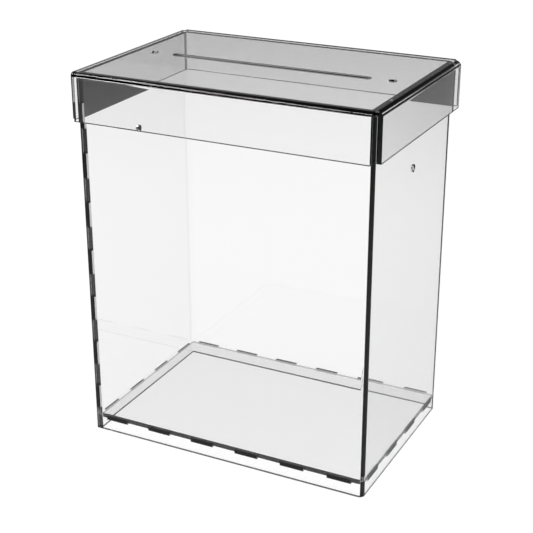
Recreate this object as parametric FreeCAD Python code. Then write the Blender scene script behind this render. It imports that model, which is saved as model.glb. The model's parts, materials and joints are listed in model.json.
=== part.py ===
import FreeCAD, Part
import os
from FreeCAD import Vector

# Donation box of clear acrylic: one sheet bent round into the four walls and closed by a finger joint
# at the front left corner, a floor with tabs through the walls, and a lift-off lid bent from one blank.
# Millimetres, +Z up, +X to the right, +Y to the back, origin at the middle of the base.

# Walls
box_width = 120.0          # outside, along X
box_depth = 80.0           # outside, along Y
wall_height = 150.0
wall_sheet = 2.0
wall_bend_radius = 0.2     # inside of the three bent corners

# Closing joint of the wall sheet
finger_length = 10.0       # one finger of the left wall, along the corner
finger_pitch = 20.0
bond_gap = 0.05            # film of cement on each joint face

# Floor
floor_sheet = 2.0
floor_lift = 5.0           # floor's underside above the walls' lower edges
tab_length = 10.0          # one tab, along the wall that takes it
tab_pitch = 20.0

# Lid
lid_sheet = 2.0
lid_height = 18.65         # top face to the skirt's lower edge
lid_side_clearance = 0.9   # skirt to wall, left and right
lid_end_clearance = 1.7    # skirt to wall, front and back
lid_seat_gap = 0.05        # lid's underside to the walls' top edges
lid_bend_radius = 0.2      # inside of the four bends
front_flap_relief = 0.75   # notch beyond the bends, at the ends of the front and back flaps
side_flap_relief = 1.35    # and at the ends of the side flaps
slot_length = 84.0
slot_width = 3.0

# Holes for a seal wire
lid_hole_diameter = 3.0
lid_hole_spacing = 101.0   # centre to centre, along the slot
wall_hole_diameter = 3.0
wall_hole_drop = 30.0      # below the walls' top edges

# Derived sizes
half_width = box_width / 2
half_depth = box_depth / 2
inner_half_width = half_width - wall_sheet
inner_half_depth = half_depth - wall_sheet
wall_bend = wall_sheet + wall_bend_radius
floor_half_width = inner_half_width - bond_gap
floor_half_depth = inner_half_depth - bond_gap
lid_half_width = half_width + lid_side_clearance + lid_sheet
lid_half_depth = half_depth + lid_end_clearance + lid_sheet
lid_bend = lid_sheet + lid_bend_radius
lid_under = wall_height + lid_seat_gap
lid_top = lid_under + lid_sheet
skirt_bottom = lid_top - lid_height
front_flap_half = lid_half_width - lid_bend - front_flap_relief
side_flap_half = lid_half_depth - lid_bend - side_flap_relief


def centred_spans(length, pitch, count, middle):
    """Stretches of one length, evenly spaced about a middle."""
    first = middle - pitch * (count - 1) / 2
    return [(first + pitch * i - length / 2, first + pitch * i + length / 2) for i in range(count)]


def finger_spans():
    """Heights that the left wall's fingers take on the closed corner. The front wall has the rest."""
    pairs = int((wall_height - 2 * finger_length) / 2 // finger_pitch)
    return centred_spans(finger_length, finger_pitch, 2 * pairs + 1, wall_height / 2)


def tab_spans(outer_length):
    """Places of the floor's tabs along the flat part of a wall of this outer length."""
    count = int((outer_length - 2 * wall_bend - tab_length) // tab_pitch) + 1
    return centred_spans(tab_length, tab_pitch, count, 0)


def bent_outline(half_x, half_y, radius):
    """Face inside a rectangle with three round corners and a sharp one at the front left."""
    x = half_x - radius
    y = half_y - radius

    def corner(centre_x, centre_y, start):
        return Part.makeCircle(radius, Vector(centre_x, centre_y, 0), Vector(0, 0, 1), start, start + 90)

    return Part.Face(Part.Wire([
        Part.makeLine(Vector(-half_x, -half_y, 0), Vector(x, -half_y, 0)),
        corner(x, -y, 270),
        Part.makeLine(Vector(half_x, -y, 0), Vector(half_x, y, 0)),
        corner(x, y, 0),
        Part.makeLine(Vector(x, half_y, 0), Vector(-x, half_y, 0)),
        corner(-x, y, 90),
        Part.makeLine(Vector(-half_x, y, 0), Vector(-half_x, -half_y, 0)),
    ]))


def finger_joint(band):
    """The band with its two ends parted at the front left corner, which their fingers share."""
    end = wall_sheet + bond_gap
    seam = Part.makeBox(wall_sheet, bond_gap, wall_height, Vector(-half_width, -inner_half_depth, 0))
    band = band.cut(seam)
    for low, high in finger_spans():
        notch_height = high - low + 2 * bond_gap
        notch = Part.makeBox(end, end, notch_height, Vector(-half_width, -half_depth, low - bond_gap))
        finger = Part.makeBox(wall_sheet, end, high - low, Vector(-half_width, -half_depth, low))
        band = band.cut(notch).fuse(finger)
    return band.removeSplitter()


def mortises():
    """Cutters for the openings that the floor's tabs go through."""
    height = floor_sheet + 2 * bond_gap
    bottom = floor_lift - bond_gap
    cutters = []
    for low, high in tab_spans(box_width):
        length = high - low + 2 * bond_gap
        for y in (-half_depth, inner_half_depth):
            cutters.append(Part.makeBox(length, wall_sheet, height, Vector(low - bond_gap, y, bottom)))
    for low, high in tab_spans(box_depth):
        length = high - low + 2 * bond_gap
        for x in (-half_width, inner_half_width):
            cutters.append(Part.makeBox(wall_sheet, length, height, Vector(x, low - bond_gap, bottom)))
    return cutters


def wall_wrap():
    """Four walls in one sheet, with the floor's mortises and a seal hole in each side wall."""
    outside = bent_outline(half_width, half_depth, wall_bend)
    inside = bent_outline(inner_half_width, inner_half_depth, wall_bend_radius)
    band = finger_joint(outside.cut(inside).extrude(Vector(0, 0, wall_height)))
    seal_holes = []
    for x in (-half_width, inner_half_width):
        start = Vector(x, 0, wall_height - wall_hole_drop)
        seal_holes.append(Part.makeCylinder(wall_hole_diameter / 2, wall_sheet, start, Vector(1, 0, 0)))
    return band.cut(mortises() + seal_holes)


def tabbed_edge(half_length, base, tip, spans):
    """One edge of the floor as (along, out): at base, and at tip over each of the spans."""
    points = [(-half_length, base)]
    for low, high in spans:
        points += [(low, base), (low, tip), (high, tip), (high, base)]
    return points + [(half_length, base)]


def floor_panel():
    """Floor between the walls, its corners clipped at the bends, its tabs flush with the walls' outside."""
    long_flat = floor_half_width - wall_bend_radius
    short_flat = floor_half_depth - wall_bend_radius
    long_edge = tabbed_edge(long_flat, floor_half_depth, half_depth, tab_spans(box_width))
    short_edge = tabbed_edge(short_flat, floor_half_width, half_width, tab_spans(box_depth))
    outline = [(along, -out) for along, out in long_edge]
    outline += [(out, along) for along, out in short_edge]
    outline += [(-along, out) for along, out in long_edge]
    outline += [(-out, -along) for along, out in short_edge]
    points = [Vector(x, y, floor_lift) for x, y in outline]
    return Part.Face(Part.makePolygon(points + points[:1])).extrude(Vector(0, 0, floor_sheet))


def bend_arc(across, height, radius, away):
    """Quarter arc of a bend from its flap to the top, on the side that away (1 or -1) points to."""
    slant = radius * 0.5 ** 0.5
    return Part.Arc(
        Vector(across + away * radius, 0, height),
        Vector(across + away * slant, 0, height + slant),
        Vector(across, 0, height + radius),
    ).toShape()


def bent_channel(half_span, half_length):
    """Top sheet with two opposite flaps bent down, as a profile across X extruded along Y."""
    inner = half_span - lid_sheet
    centre = half_span - lid_bend
    centre_height = lid_top - lid_bend
    edges = [
        Part.makeLine(Vector(-centre, 0, lid_top), Vector(centre, 0, lid_top)),
        Part.makeLine(Vector(-centre, 0, lid_under), Vector(centre, 0, lid_under)),
    ]
    for side in (-1, 1):
        outer_foot = Vector(side * half_span, 0, skirt_bottom)
        inner_foot = Vector(side * inner, 0, skirt_bottom)
        edges += [
            bend_arc(side * centre, centre_height, lid_bend, side),
            bend_arc(side * centre, centre_height, lid_bend_radius, side),
            Part.makeLine(Vector(side * half_span, 0, centre_height), outer_foot),
            Part.makeLine(outer_foot, inner_foot),
            Part.makeLine(inner_foot, Vector(side * inner, 0, centre_height)),
        ]
    profile = Part.Face(Part.Wire(Part.__sortEdges__(edges)))
    profile.translate(Vector(0, -half_length, 0))
    return profile.extrude(Vector(0, 2 * half_length, 0))


def slot_cutter():
    """Long slot with round ends, through the lid's top."""
    radius = slot_width / 2
    straight = slot_length / 2 - radius
    middle = Part.makeBox(2 * straight, slot_width, lid_sheet, Vector(-straight, -radius, lid_under))
    ends = [Part.makeCylinder(radius, lid_sheet, Vector(side * straight, 0, lid_under)) for side in (-1, 1)]
    return middle.fuse(ends).removeSplitter()


def lid():
    """Cap bent from one blank: two crossing channels, open at the notched corners."""
    sides = bent_channel(lid_half_width, side_flap_half)
    ends = bent_channel(lid_half_depth, front_flap_half)
    ends.rotate(Vector(0, 0, 0), Vector(0, 0, 1), 90)
    cap = sides.fuse(ends).removeSplitter().cut(slot_cutter())
    for side in (-1, 1):
        centre = Vector(side * lid_hole_spacing / 2, 0, lid_under)
        cap = cap.cut(Part.makeCylinder(lid_hole_diameter / 2, lid_sheet, centre))
    return cap


pieces = {
    "wall_wrap": wall_wrap(),
    "floor_panel": floor_panel(),
    "lid": lid(),
}

os.makedirs("parts", exist_ok=True)
for name, shape in pieces.items():
    print(name, "solids", len(shape.Solids), "valid", shape.isValid(), "volume", round(shape.Volume, 1))
    shape.exportStep("parts/" + name + ".step")
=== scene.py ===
import json
import math
import bmesh
import bpy
from mathutils import Matrix, Vector


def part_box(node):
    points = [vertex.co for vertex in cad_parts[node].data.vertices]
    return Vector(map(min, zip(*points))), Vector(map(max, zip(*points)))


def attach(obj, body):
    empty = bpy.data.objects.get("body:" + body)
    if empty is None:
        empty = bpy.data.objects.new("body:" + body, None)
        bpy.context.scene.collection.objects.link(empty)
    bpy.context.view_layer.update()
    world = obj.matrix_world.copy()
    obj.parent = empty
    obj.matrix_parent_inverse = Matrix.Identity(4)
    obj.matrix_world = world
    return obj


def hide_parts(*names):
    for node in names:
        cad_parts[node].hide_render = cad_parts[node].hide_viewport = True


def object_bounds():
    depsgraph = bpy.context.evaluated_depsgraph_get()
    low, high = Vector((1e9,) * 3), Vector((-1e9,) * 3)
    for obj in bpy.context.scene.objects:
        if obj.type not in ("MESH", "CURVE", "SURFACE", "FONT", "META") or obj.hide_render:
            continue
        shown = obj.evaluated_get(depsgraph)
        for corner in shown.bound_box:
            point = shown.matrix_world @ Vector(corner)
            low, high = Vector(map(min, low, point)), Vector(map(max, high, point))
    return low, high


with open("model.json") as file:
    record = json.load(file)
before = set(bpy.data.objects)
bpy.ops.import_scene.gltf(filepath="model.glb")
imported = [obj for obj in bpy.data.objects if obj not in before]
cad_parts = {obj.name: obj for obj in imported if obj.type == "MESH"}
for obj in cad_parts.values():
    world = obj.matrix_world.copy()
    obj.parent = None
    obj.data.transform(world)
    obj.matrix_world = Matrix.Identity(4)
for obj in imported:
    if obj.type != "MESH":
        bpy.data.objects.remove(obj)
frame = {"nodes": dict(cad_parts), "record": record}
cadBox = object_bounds()
scene = bpy.context.scene
scene.view_settings.view_transform = "Standard"
print("frame loaded:", ", ".join(sorted(frame["nodes"])))


# Sizes from the frame, in millimetres

def boxInMm(node):
    low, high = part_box(node)
    return low * 1000, high * 1000


def sealHole(name):
    mount = next(m for m in frame["record"]["mounts"] if m["name"] == name)
    return Vector(mount["pos_m"]) * 1000, mount["dims"]["r_mm"]


wallLow, wallHigh = boxInMm("wall_wrap")
floorLow, floorHigh = boxInMm("floor_panel")
lidLow, lidHigh = boxInMm("lid")
sheet = floorHigh.z - floorLow.z                # every piece is cut from this one sheet


# Cutting and bending a sheet: a blank lies in X and Y, its inner face at z = 0

sheetWork = dict(
    edgeRound=0.04,       # mm, where a cut edge meets a face
    roundSteps=1,
    holeSteps=56,         # points round a drilled hole
    bendSteps=22,         # strips in a quarter bend
)


def roundPoints(x, y, radius, start, turn, steps):
    angles = [math.radians(start + turn * i / steps) for i in range(steps + 1)]
    return [(x + radius * math.cos(a), y + radius * math.sin(a)) for a in angles]


def drilledHole(x, y, radius):
    return roundPoints(x, y, radius, 0, 360, sheetWork["holeSteps"])[:-1]


def longSlot(length, width):
    radius = width / 2
    straight = length / 2 - radius
    half = sheetWork["holeSteps"] // 2
    right = roundPoints(straight, 0, radius, -90, 180, half)
    left = roundPoints(-straight, 0, radius, 90, 180, half)
    return right + left


def centredSpans(length, pitch, count, middle):
    first = middle - pitch * (count - 1) / 2
    return [(first + pitch * i - length / 2, first + pitch * i + length / 2) for i in range(count)]


def cutBlank(name, outline, openings, thickness):
    curve = bpy.data.curves.new(name + "Blank", "CURVE")
    curve.dimensions = "2D"
    curve.fill_mode = "BOTH"
    curve.bevel_depth = sheetWork["edgeRound"]
    curve.bevel_resolution = sheetWork["roundSteps"]
    curve.extrude = thickness / 2 - sheetWork["edgeRound"]
    curve.offset = -sheetWork["edgeRound"]
    for points in [outline] + openings:
        spline = curve.splines.new("POLY")
        spline.points.add(len(points) - 1)
        for point, (x, y) in zip(spline.points, points):
            point.co = (x, y, 0, 1)
        spline.use_cyclic_u = True
    cutter = bpy.data.objects.new(name + "Blank", curve)
    scene.collection.objects.link(cutter)
    flat = bpy.data.meshes.new_from_object(cutter.evaluated_get(bpy.context.evaluated_depsgraph_get()))
    blank = bmesh.new()
    blank.from_mesh(flat)
    bpy.data.objects.remove(cutter)
    bpy.data.curves.remove(curve)
    bpy.data.meshes.remove(flat)
    bmesh.ops.remove_doubles(blank, verts=blank.verts, dist=0.002)
    bmesh.ops.translate(blank, verts=blank.verts, vec=(0, 0, thickness / 2))
    bmesh.ops.recalc_face_normals(blank, faces=blank.faces)
    return blank


def bendLength(radius):
    return math.radians(90) * (radius + sheet / 2)


def scoreBend(blank, start, radius, across):
    for i in range(sheetWork["bendSteps"] + 1):          # lines where the strips of a bend meet
        at = start + math.copysign(bendLength(radius), start) * i / sheetWork["bendSteps"]
        geometry = blank.verts[:] + blank.edges[:] + blank.faces[:]
        bmesh.ops.bisect_plane(blank, geom=geometry, dist=0.0001, plane_co=across * at, plane_no=across)


def bendOver(past, radius, height):
    if past <= 0:
        return past, height, 0
    turned = math.radians(90) * min(past / bendLength(radius), 1)
    beyond = max(past - bendLength(radius), 0)
    along = (radius + height) * math.sin(turned)
    lift = (radius + height) * math.cos(turned) - radius - beyond
    return along, lift, turned


def finishSheet(name, blank, place, node, body, material):
    blank.normal_update()
    cut = [abs(face.normal.z) < 0.99 for face in blank.faces]
    spots = [[place(corner.vert.co) for corner in face.loops] for face in blank.faces]
    normals = [turn @ face.normal for face, row in zip(blank.faces, spots) for point, turn in row]
    flatPlaces = [corner.vert.co.xy for face in blank.faces for corner in face.loops]
    for vert in blank.verts:
        vert.co = place(vert.co)[0] * 0.001
    mesh = bpy.data.meshes.new(name)
    blank.to_mesh(mesh)
    blank.free()
    mesh.shade_smooth()
    mesh.normals_split_custom_set(normals)
    mesh.attributes.new("cutEdge", "FLOAT", "FACE").data.foreach_set("value", [float(c) for c in cut])
    sheetMap = mesh.uv_layers.new(name="sheetMap")       # place on the flat sheet, in mm
    sheetMap.data.foreach_set("uv", [c for spot in flatPlaces for c in spot])
    mesh.materials.append(material)
    piece = bpy.data.objects.new(name, mesh)
    scene.collection.objects.link(piece)
    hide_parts(node)
    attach(piece, body)
    print(name, "made,", len(mesh.polygons), "faces")
    return piece


# Finishes shared by the acrylic pieces

def newGroup(name, inputs, outputs):
    group = bpy.data.node_groups.new(name, "ShaderNodeTree")
    for label, value in inputs.items():
        socket = group.interface.new_socket(label, in_out="INPUT", socket_type="NodeSocketFloat")
        socket.default_value = value
    for label in outputs:
        group.interface.new_socket(label, in_out="OUTPUT", socket_type="NodeSocketFloat")
    return group, group.nodes.new("NodeGroupInput"), group.nodes.new("NodeGroupOutput")


def maths(tree, operation, first, second=0.5, third=None):
    node = tree.nodes.new("ShaderNodeMath")
    node.operation = operation
    for socket, value in zip(node.inputs, (first, second, third)):
        if isinstance(value, bpy.types.NodeSocket):
            tree.links.new(value, socket)
        elif value is not None:
            socket.default_value = value
    return node.outputs[0]


def sheetPlace(tree):
    place = tree.nodes.new("ShaderNodeUVMap")
    place.uv_map = "sheetMap"
    return place.outputs[0]


def stretchedNoise(tree, turn, across, along, detail):
    mapping = tree.nodes.new("ShaderNodeMapping")
    mapping.inputs["Rotation"].default_value = (0, 0, math.radians(turn))
    mapping.inputs["Scale"].default_value = (across, along, 1)
    tree.links.new(sheetPlace(tree), mapping.inputs["Vector"])
    noise = tree.nodes.new("ShaderNodeTexNoise")
    noise.noise_dimensions = "2D"
    noise.inputs["Scale"].default_value = 1
    noise.inputs["Detail"].default_value = detail
    tree.links.new(mapping.outputs[0], noise.inputs["Vector"])
    return noise.outputs["Fac"]


handling = dict(
    wipes=((24, 9, 0.05), (-51, 7, 0.04), (78, 11, 0.07)),   # turn in degrees, lines per mm across, along
    lineWidth=0.004,      # share of the noise that is a hairline
    lineRough=0.1,
    patches=0.03,         # per mm
    patchFrom=0.56,       # hairlines come where the noise is above this
    smear=(12, 0.05, 0.02),
    smearFrom=0.55,
)


def handlingMarksGroup():
    group, given, out = newGroup("handlingMarks", dict(Hairlines=0.5, Haze=0.5), ["Roughness"])
    lines = None
    for turn, across, along in handling["wipes"]:
        noise = stretchedNoise(group, turn, across, along, 1)
        ridge = maths(group, "ABSOLUTE", maths(group, "SUBTRACT", noise, 0.5))
        thin = maths(group, "LESS_THAN", ridge, handling["lineWidth"])
        lines = thin if lines is None else maths(group, "MAXIMUM", lines, thin)
    patches = stretchedNoise(group, 0, handling["patches"], handling["patches"], 3)
    worn = maths(group, "GREATER_THAN", patches, handling["patchFrom"])
    marks = maths(group, "MULTIPLY", maths(group, "MULTIPLY", lines, worn), given.outputs["Hairlines"])
    smear = maths(group, "SUBTRACT", stretchedNoise(group, *handling["smear"], 4), handling["smearFrom"])
    smear = maths(group, "MULTIPLY", maths(group, "MAXIMUM", smear, 0), given.outputs["Haze"])
    rough = maths(group, "ADD", maths(group, "MULTIPLY", marks, handling["lineRough"]), smear)
    group.links.new(rough, out.inputs["Roughness"])
    return group


def laserEdgeGroup():
    group, given, out = newGroup("laserEdge", dict(Edge=0, Ripple=1, Frost=0.02), ["Height", "Roughness"])
    split = group.nodes.new("ShaderNodeSeparateXYZ")
    group.links.new(sheetPlace(group), split.inputs[0])
    run = maths(group, "ADD", split.outputs["X"], split.outputs["Y"])    # runs on along any straight cut
    strokes = group.nodes.new("ShaderNodeTexNoise")
    strokes.noise_dimensions = "1D"
    strokes.inputs["Scale"].default_value = 4                            # strokes of the beam for each mm
    strokes.inputs["Detail"].default_value = 2
    group.links.new(run, strokes.inputs["W"])
    height = maths(group, "MULTIPLY", strokes.outputs["Fac"], given.outputs["Ripple"])
    group.links.new(maths(group, "MULTIPLY", height, given.outputs["Edge"]), out.inputs["Height"])
    frost = maths(group, "MULTIPLY", strokes.outputs["Fac"], given.outputs["Frost"])
    group.links.new(maths(group, "MULTIPLY", frost, given.outputs["Edge"]), out.inputs["Roughness"])
    return group


handlingMarks = handlingMarksGroup()
laserEdge = laserEdgeGroup()
print("finish groups built")


def placeGroup(tree, group, values):
    node = tree.nodes.new("ShaderNodeGroup")
    node.node_tree = group
    for label, value in values.items():
        node.inputs[label].default_value = value
    return node


# Clear acrylic

def clearAcrylic(name, look):
    material = bpy.data.materials.new(name)
    material.use_nodes = True
    tree = material.node_tree
    tree.nodes.clear()
    new = tree.nodes.new
    link = tree.links.new
    body = new("ShaderNodeBsdfPrincipled")
    body.inputs["Base Color"].default_value = look["clear"]
    body.inputs["IOR"].default_value = look["ior"]
    body.inputs["Transmission Weight"].default_value = 1
    path = new("ShaderNodeLightPath")
    # painted shade: past this many crossings the Base Color turns near black, a painted dark where light
    # dies out
    if look["deepest"]:
        deep = maths(tree, "GREATER_THAN", path.outputs["Transmission Depth"], look["deepest"])
        paintedDark = new("ShaderNodeMix")
        paintedDark.data_type = "RGBA"
        paintedDark.inputs[6].default_value = look["clear"]
        paintedDark.inputs[7].default_value = look["deepPaintedShade"]
        link(deep, paintedDark.inputs[0])
        link(paintedDark.outputs[2], body.inputs["Base Color"])

    edge = new("ShaderNodeAttribute")
    edge.attribute_name = "cutEdge"
    strokes = placeGroup(tree, laserEdge, dict(Ripple=look["ripple"], Frost=look["frost"]))
    link(edge.outputs["Fac"], strokes.inputs["Edge"])
    marks = placeGroup(tree, handlingMarks, dict(Hairlines=look["hairlines"], Haze=look["haze"]))
    rough = maths(tree, "ADD", strokes.outputs["Roughness"], marks.outputs["Roughness"])
    link(rough, body.inputs["Roughness"])
    relief = new("ShaderNodeBump")
    relief.inputs["Strength"].default_value = look["relief"]
    relief.inputs["Distance"].default_value = look["strokeDepth"]
    link(strokes.outputs["Height"], relief.inputs["Height"])
    link(relief.outputs[0], body.inputs["Normal"])

    shade = new("ShaderNodeBsdfTransparent")     # light passes on to the floor as through a clear sheet
    shade.inputs["Color"].default_value = look["shade"]
    choose = new("ShaderNodeMixShader")
    link(path.outputs["Is Shadow Ray"], choose.inputs[0])
    link(body.outputs[0], choose.inputs[1])
    link(shade.outputs[0], choose.inputs[2])
    inside = new("ShaderNodeVolumeAbsorption")
    inside.inputs["Color"].default_value = look["insideTone"]
    inside.inputs["Density"].default_value = look["density"]
    out = new("ShaderNodeOutputMaterial")
    link(choose.outputs[0], out.inputs["Surface"])
    link(inside.outputs[0], out.inputs["Volume"])
    return material


wallLook = dict(
    clear=(1, 1, 1, 1),
    ior=1.49,
    deepest=0,            # faces that light crosses before the colour is painted near black as shade, 0 for any number
    deepPaintedShade=(0, 0, 0, 1),
    insideTone=(0, 0, 0, 1),
    density=3,            # share of light taken in each metre
    shade=(0.945, 0.945, 0.945, 1),
    ripple=1,
    frost=0.015,
    hairlines=0.4,
    haze=0.01,
    relief=0.15,
    strokeDepth=0.00002,  # metres
)
lidLook = dict(
    wallLook,
    # the lid's colour is painted dark as shade where light has crossed many faces
    deepest=5.5,
    deepPaintedShade=(0.003, 0.003, 0.003, 1),
)
wallAcrylic = clearAcrylic("wallAcrylic", wallLook)
lidAcrylic = clearAcrylic("lidAcrylic", lidLook)
print("acrylic finishes built")


# Walls: one sheet bent at three corners, its ends finger-jointed at the front left

wall = dict(
    bendRadius=0.2,       # inside a bent corner, mm
    fingerLength=10,
    fingerPitch=20,
    cementGap=0.05,
    tabLength=10,
    tabPitch=20,
)
wallWidth = wallHigh.x - wallLow.x
wallDepth = wallHigh.y - wallLow.y
wallHeight = wallHigh.z - wallLow.z
wallBend = sheet + wall["bendRadius"]
jointDepth = sheet + wall["cementGap"]


def tabSpans(outerLength):
    count = int((outerLength - 2 * wallBend - wall["tabLength"]) // wall["tabPitch"]) + 1
    return centredSpans(wall["tabLength"], wall["tabPitch"], count, 0)


def fingerSpans():
    pairs = int((wallHeight - 2 * wall["fingerLength"]) / 2 // wall["fingerPitch"])
    return centredSpans(wall["fingerLength"], wall["fingerPitch"], 2 * pairs + 1, wallHeight / 2)


def toothedEnd(base, tip, grow):
    points = [(base, 0)]
    for low, high in fingerSpans():
        points += [(base, low - grow), (tip, low - grow), (tip, high + grow), (base, high + grow)]
    return points + [(base, wallHeight)]


def wallRuns():
    radius = wall["bendRadius"]
    flats = [                               # flat length, the wall's middle on it, outside length
        (wallWidth - wallBend, wallWidth / 2, wallWidth),                      # front
        (wallDepth - 2 * wallBend, wallDepth / 2 - wallBend, wallDepth),       # right
        (wallWidth - 2 * wallBend, wallWidth / 2 - wallBend, wallWidth),       # back
        (wallDepth - wallBend, wallDepth / 2 - wallBend, wallDepth),           # left
    ]
    corner = Vector((wallLow.x, wallLow.y + sheet, 0))
    start = 0
    runs = []
    for i, (flat, middle, outside) in enumerate(flats):
        turn = Matrix.Rotation(math.radians(90 * i), 3, "Z") @ Matrix.Rotation(math.radians(90), 3, "X")
        run = dict(start=start, flat=flat, middle=start + middle, outside=outside, corner=corner, turn=turn)
        runs.append(run)
        corner = corner + turn @ Vector((flat + radius, 0, -radius))
        start += flat + bendLength(radius)
    return runs


def makeWalls():
    runs = wallRuns()
    end = runs[-1]["start"] + runs[-1]["flat"]
    outline = toothedEnd(end - jointDepth, end, 0)
    outline += reversed(toothedEnd(0, jointDepth, wall["cementGap"]))
    mortiseLow = floorLow.z - wall["cementGap"]
    mortiseHigh = floorHigh.z + wall["cementGap"]
    openings = []
    for run in runs:
        for low, high in tabSpans(run["outside"]):
            left = run["middle"] + low - wall["cementGap"]
            right = run["middle"] + high + wall["cementGap"]
            lower = [(left, mortiseLow), (right, mortiseLow)]
            openings.append(lower + [(right, mortiseHigh), (left, mortiseHigh)])
    for run, name in ((runs[1], "wall_seal_hole_right"), (runs[3], "wall_seal_hole_left")):
        place, radius = sealHole(name)
        openings.append(drilledHole(run["middle"], place.z, radius))
    blank = cutBlank("wallSheet", outline, openings, sheet)
    for run in runs[:-1]:
        scoreBend(blank, run["start"] + run["flat"], wall["bendRadius"], Vector((1, 0, 0)))

    def place(spot):
        run = [r for r in runs if r["start"] <= spot.x + 0.0001][-1] if spot.x > 0 else runs[0]
        along, lift, turned = bendOver(spot.x - run["start"] - run["flat"], wall["bendRadius"], spot.z)
        local = Vector((run["flat"] + along, spot.y, lift))
        turn = run["turn"] @ Matrix.Rotation(turned, 3, "Y")
        return run["corner"] + run["turn"] @ local, turn

    return finishSheet("wallSheet", blank, place, "wall_wrap", "box", wallAcrylic)


makeWalls()


# Floor: flat, its tabs flush with the walls' outside

def tabbedEdge(halfLength, base, tip, spans):
    points = [(-halfLength, base)]
    for low, high in spans:
        points += [(low, base), (low, tip), (high, tip), (high, base)]
    return points + [(halfLength, base)]


def makeFloor():
    acrossBase = wallWidth / 2 - jointDepth
    alongBase = wallDepth / 2 - jointDepth
    clip = wall["bendRadius"]                            # corners clear the insides of the bends
    longEdge = tabbedEdge(acrossBase - clip, alongBase, wallDepth / 2, tabSpans(wallWidth))
    shortEdge = tabbedEdge(alongBase - clip, acrossBase, wallWidth / 2, tabSpans(wallDepth))
    outline = [(along, -out) for along, out in longEdge]
    outline += [(out, along) for along, out in shortEdge]
    outline += [(-along, out) for along, out in longEdge]
    outline += [(-out, -along) for along, out in shortEdge]
    blank = cutBlank("floorSheet", outline, [], sheet)
    level = Vector((0, 0, floorLow.z))
    still = Matrix.Identity(3)
    return finishSheet("floorSheet", blank, lambda spot: (spot + level, still), "floor_panel", "box",
                       wallAcrylic)


makeFloor()


# Lid: one notched blank with four flaps bent down

lid = dict(
    bendRadius=0.2,
    frontNotch=2.95,      # from the lid's side to the ends of the front and back flaps
    sideNotch=3.55,       # from the lid's front to the ends of the side flaps
    slotLength=84,
    slotWidth=3,
)


def makeLid():
    radius = lid["bendRadius"]
    bend = sheet + radius
    flatX = lidHigh.x - bend
    flatY = lidHigh.y - bend
    endX = lidHigh.x - lid["frontNotch"]
    endY = lidHigh.y - lid["sideNotch"]
    reach = bendLength(radius) + lidHigh.z - bend - lidLow.z
    quarter = [(flatX + reach, endY), (endX, endY), (endX, flatY + reach)]
    outline = quarter + [(-x, y) for x, y in reversed(quarter)]
    outline += [(-x, -y) for x, y in quarter] + [(x, -y) for x, y in reversed(quarter)]
    openings = [longSlot(lid["slotLength"], lid["slotWidth"])]
    for name in ("lid_seal_hole_left", "lid_seal_hole_right"):
        place, holeRadius = sealHole(name)
        openings.append(drilledHole(place.x, place.y, holeRadius))
    blank = cutBlank("lidSheet", outline, openings, sheet)
    for side in (-1, 1):
        scoreBend(blank, side * flatX, radius, Vector((1, 0, 0)))
        scoreBend(blank, side * flatY, radius, Vector((0, 1, 0)))
    under = lidHigh.z - sheet

    def place(spot):
        pastX = abs(spot.x) - flatX
        pastY = abs(spot.y) - flatY
        if max(pastX, pastY) <= 0:
            return Vector((spot.x, spot.y, under + spot.z)), Matrix.Identity(3)
        if pastX > pastY:
            side = math.copysign(1, spot.x)
            along, lift, turned = bendOver(pastX, radius, spot.z)
            bent = Vector((side * (flatX + along), spot.y, under + lift))
            return bent, Matrix.Rotation(side * turned, 3, "Y")
        side = math.copysign(1, spot.y)
        along, lift, turned = bendOver(pastY, radius, spot.z)
        bent = Vector((spot.x, side * (flatY + along), under + lift))
        return bent, Matrix.Rotation(-side * turned, 3, "X")

    return finishSheet("lidSheet", blank, place, "lid", "cover", lidAcrylic)


makeLid()


# Studio: pale floor, even white round the object, dark enough in reflections to draw the edges

studio = dict(
    white=1.0,            # what the camera sees past and through the box
    ambient=0.6,          # world's light on matt surfaces
    overhead=0.05,        # what gloss shows of the room, above
    horizon=0.155,        # and near the horizon
    riseFrom=0.28,        # height of the look, 0 level and 1 straight up
    riseTo=0.42,
    paintedPoolNear=0.5,        # painted light: the floor's glow in reflections beside the box, a painted pool of light
    paintedPoolFar=0.21,
    fadeFrom=0.25,        # metres from the box where the painted pool of light fades
    fadeTo=0.6,
    glow=0.86,            # floor's own white, the rest is light that falls on it
    matt=(0.2, 0.2, 0.2, 1),
    floorSize=30,
    floorDrop=0.0003,
)


def glossOnly(tree):
    path = tree.nodes.new("ShaderNodeLightPath")
    return maths(tree, "GREATER_THAN", path.outputs["Glossy Depth"], 0.5), path


def ramp(tree, value, start, end, low, high):
    node = tree.nodes.new("ShaderNodeMapRange")
    node.interpolation_type = "SMOOTHSTEP"
    tree.links.new(value, node.inputs["Value"])
    node.inputs["From Min"].default_value = studio[start]
    node.inputs["From Max"].default_value = studio[end]
    node.inputs["To Min"].default_value = studio[low]
    node.inputs["To Max"].default_value = studio[high]
    return node.outputs["Result"]


def pick(tree, factor, plain, other):
    return maths(tree, "MULTIPLY_ADD", factor, maths(tree, "SUBTRACT", other, plain), plain)


def makeWorld():
    world = bpy.data.worlds.new("studioRoom")
    world.use_nodes = True
    scene.world = world
    tree = world.node_tree
    tree.nodes.clear()
    gloss, path = glossOnly(tree)
    where = tree.nodes.new("ShaderNodeTexCoord")
    split = tree.nodes.new("ShaderNodeSeparateXYZ")
    tree.links.new(where.outputs["Generated"], split.inputs[0])
    room = ramp(tree, split.outputs["Z"], "riseFrom", "riseTo", "horizon", "overhead")
    seen = maths(tree, "MAXIMUM", path.outputs["Is Camera Ray"], path.outputs["Is Transmission Ray"])
    level = pick(tree, seen, studio["ambient"], studio["white"])
    level = pick(tree, gloss, level, room)
    back = tree.nodes.new("ShaderNodeBackground")
    tree.links.new(level, back.inputs["Strength"])
    back.inputs["Color"].default_value = (1, 1, 1, 1)
    out = tree.nodes.new("ShaderNodeOutputWorld")
    tree.links.new(back.outputs[0], out.inputs["Surface"])


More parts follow.
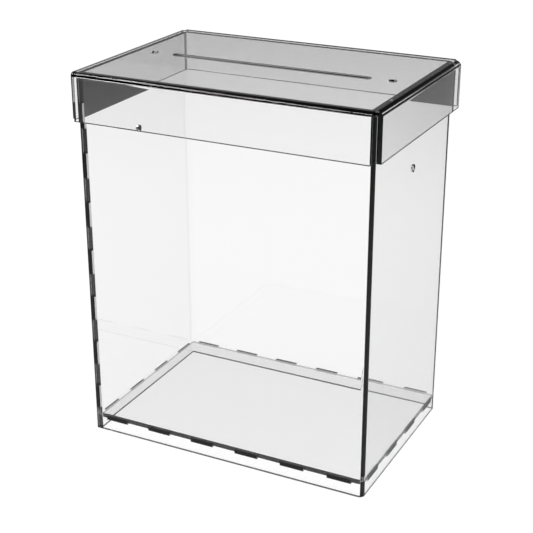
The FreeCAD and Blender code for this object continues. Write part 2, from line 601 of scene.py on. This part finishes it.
def makeStudioFloor():
    half = studio["floorSize"] / 2
    mesh = bpy.data.meshes.new("studioFloor")
    corners = [(-half, -half), (half, -half), (half, half), (-half, half)]
    mesh.from_pydata([(x, y, -studio["floorDrop"]) for x, y in corners], [], [(0, 1, 2, 3)])
    material = bpy.data.materials.new("studioFloor")
    material.use_nodes = True
    mesh.materials.append(material)
    tree = material.node_tree
    tree.nodes.clear()
    gloss, path = glossOnly(tree)
    spot = tree.nodes.new("ShaderNodeNewGeometry")
    far = tree.nodes.new("ShaderNodeVectorMath")
    far.operation = "LENGTH"
    tree.links.new(spot.outputs["Position"], far.inputs[0])
    # painted light: in reflections the floor glows brighter near the box, a painted pool of light fading
    # with distance
    room = ramp(tree, far.outputs["Value"], "fadeFrom", "fadeTo", "paintedPoolNear", "paintedPoolFar")
    seen = maths(tree, "MAXIMUM", path.outputs["Is Camera Ray"], path.outputs["Is Transmission Ray"])
    level = pick(tree, gloss, maths(tree, "MULTIPLY", seen, studio["glow"]), room)
    shine = tree.nodes.new("ShaderNodeEmission")
    tree.links.new(level, shine.inputs["Strength"])
    matt = tree.nodes.new("ShaderNodeBsdfDiffuse")
    matt.inputs["Color"].default_value = studio["matt"]
    both = tree.nodes.new("ShaderNodeAddShader")
    tree.links.new(shine.outputs[0], both.inputs[0])
    tree.links.new(matt.outputs[0], both.inputs[1])
    out = tree.nodes.new("ShaderNodeOutputMaterial")
    tree.links.new(both.outputs[0], out.inputs["Surface"])
    floor = bpy.data.objects.new("studioFloor", mesh)
    scene.collection.objects.link(floor)


lamps = dict(
    keyBox=dict(aim=(-0.47, -0.20, 0.86), away=1.2, size=(0.9, 0.17), glow=9),
    topBox=dict(aim=(0.25, 0.15, 0.95), away=1.4, size=(0.6, 0.6), glow=0.6),
)


def makeLamps():
    middle = (cadBox[0] + cadBox[1]) / 2
    for name, lamp in lamps.items():
        data = bpy.data.lights.new(name, "AREA")
        data.shape = "RECTANGLE"
        data.size, data.size_y = lamp["size"]
        data.energy = lamp["glow"] * math.pi * data.size * data.size_y
        ob = bpy.data.objects.new(name, data)
        scene.collection.objects.link(ob)
        toward = Vector(lamp["aim"]).normalized()
        ob.location = middle + toward * lamp["away"]
        ob.rotation_euler = toward.to_track_quat("Z", "Y").to_euler()


makeWorld()
makeStudioFloor()
makeLamps()
print("studio set")


# Camera at the photo's view

cameraSet = dict(
    lens=85.78,
    sensor=36,
    place=(0.212606, -0.423881, 0.267261),
    lookDown=22.651,
    turn=26.74,
)


def makeCamera():
    data = bpy.data.cameras.new("boxCamera")
    data.lens = cameraSet["lens"]
    data.sensor_width = cameraSet["sensor"]
    data.clip_start = 0.01
    camera = bpy.data.objects.new("boxCamera", data)
    camera.location = cameraSet["place"]
    tilt = math.radians(90 - cameraSet["lookDown"])
    camera.rotation_euler = (tilt, 0, math.radians(cameraSet["turn"]))
    scene.collection.objects.link(camera)
    scene.camera = camera


makeCamera()
bpy.context.view_layer.update()
